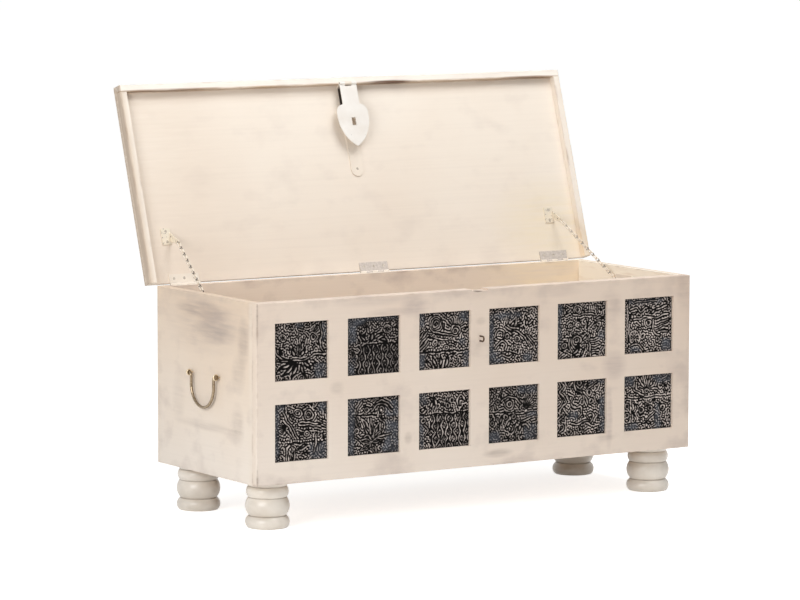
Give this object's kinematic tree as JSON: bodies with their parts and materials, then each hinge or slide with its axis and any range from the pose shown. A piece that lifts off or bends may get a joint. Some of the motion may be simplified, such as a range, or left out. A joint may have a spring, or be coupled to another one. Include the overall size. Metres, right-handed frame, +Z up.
{
  "type": "storage chest",
  "caption": "Long wooden storage chest on turned feet with a carved block front, a hinged lid held open by chains, a hasp and staple, and drop handles on its ends.",
  "frame": {"origin": "on the floor under the middle of the whole object's bounding box, with the lid open as in the picture", "axes": "+X along the chest to the right as seen from the front, +Y from the carved front to the back, +Z up"},
  "size_m": [1.1, 0.5622, 0.865],
  "materials": {
    "whitewashed_wood": "worn cream whitewash over wood, matt, with grey-brown smudges near the edges",
    "bare_wood": "plain planed wood, matt",
    "dark_rubbed_carving": "dark stain with the raised carving rubbed pale",
    "satin_painted_feet": "cream paint, satin",
    "painted_iron": "cream paint over iron, satin, worn at the edges",
    "zinc_steel": "dull zinc plate",
    "screw_steel": "dull steel",
    "bright_steel": "bright drawn steel rod",
    "brass_wire": "dull brass wire",
    "dark_iron": "dark oiled iron wire"
  },
  "bodies": {
    "chest": {"back_wall": "whitewashed_wood", "bottom_board": "bare_wood", "box_screws": "screw_steel", "carved_block_lower_1": "dark_rubbed_carving", "carved_block_lower_2": "dark_rubbed_carving", "carved_block_lower_3": "dark_rubbed_carving", "carved_block_lower_4": "dark_rubbed_carving", "carved_block_lower_5": "dark_rubbed_carving", "carved_block_lower_6": "dark_rubbed_carving", "carved_block_upper_1": "dark_rubbed_carving", "carved_block_upper_2": "dark_rubbed_carving", "carved_block_upper_3": "dark_rubbed_carving", "carved_block_upper_4": "dark_rubbed_carving", "carved_block_upper_5": "dark_rubbed_carving", "carved_block_upper_6": "dark_rubbed_carving", "chain_left_wall_bracket": "painted_iron", "chain_right_wall_bracket": "painted_iron", "foot_back_left": "satin_painted_feet", "foot_back_right": "satin_painted_feet", "foot_front_left": "satin_painted_feet", "foot_front_right": "satin_painted_feet", "foot_studs": "screw_steel", "front_bottom_rail": "whitewashed_wood", "front_left_stile": "whitewashed_wood", "front_lining_board": "bare_wood", "front_middle_rail": "whitewashed_wood", "front_mullions_lower": "whitewashed_wood", "front_mullions_upper": "whitewashed_wood", "front_right_stile": "whitewashed_wood", "front_top_rail": "whitewashed_wood", "handle_left_eyes": "brass_wire", "handle_right_eyes": "brass_wire", "hinge_left_box_leaf": "painted_iron", "hinge_middle_box_leaf": "painted_iron", "hinge_pins": "zinc_steel", "hinge_right_box_leaf": "painted_iron", "left_side_wall": "whitewashed_wood", "lock_staple": "dark_iron", "right_side_wall": "whitewashed_wood"},
    "lid": {"chain_left_lid_bracket": "painted_iron", "chain_right_lid_bracket": "painted_iron", "hasp_pin": "screw_steel", "hasp_strap": "painted_iron", "hinge_left_lid_leaf": "painted_iron", "hinge_middle_lid_leaf": "zinc_steel", "hinge_right_lid_leaf": "zinc_steel", "lid_front_rim": "whitewashed_wood", "lid_left_rim": "whitewashed_wood", "lid_panel": "whitewashed_wood", "lid_right_rim": "whitewashed_wood", "lid_screws": "screw_steel"},
    "hasp": {"hasp_leaf": "painted_iron"},
    "chain_left": {"chain_left": "painted_iron"},
    "chain_right": {"chain_right": "painted_iron"},
    "handle_left": {"handle_left_bail": "bright_steel"},
    "handle_right": {"handle_right_bail": "bright_steel"}
  },
  "joints": [
    {"name": "lid_hinge", "type": "hinge", "parent": "chest", "child": "lid", "pos_m": [0, 0.13825, 0.45915], "axis": [1, 0, 0], "range_deg": [0, 108]},
    {"name": "hasp_swing", "type": "hinge", "parent": "lid", "child": "hasp", "pos_m": [0, 0.24773, 0.85289], "axis": [1, 0, 0], "range_deg": [-118.5, 0]},
    {"name": "chain_left_swing", "type": "hinge", "parent": "lid", "child": "chain_left", "pos_m": [-0.478, 0.13893, 0.5462], "axis": [1, 0, 0], "range_deg": [-52, 0]},
    {"name": "chain_right_swing", "type": "hinge", "parent": "lid", "child": "chain_right", "pos_m": [0.478, 0.13893, 0.5462], "axis": [1, 0, 0], "range_deg": [-52, 0]},
    {"name": "handle_left_swing", "type": "hinge", "parent": "chest", "child": "handle_left", "pos_m": [-0.539, -0.06505, 0.297], "axis": [0, 1, 0], "range_deg": [-5, 185]},
    {"name": "handle_right_swing", "type": "hinge", "parent": "chest", "child": "handle_right", "pos_m": [0.539, -0.06505, 0.297], "axis": [0, -1, 0], "range_deg": [-5, 185]}
  ],
  "couplings": [
    {"joint": "hasp_swing", "follows": "lid_hinge", "ratio": -1.0926},
    {"joint": "chain_left_swing", "follows": "lid_hinge", "ratio": -0.4788},
    {"joint": "chain_right_swing", "follows": "lid_hinge", "ratio": -0.4788}
  ]
}
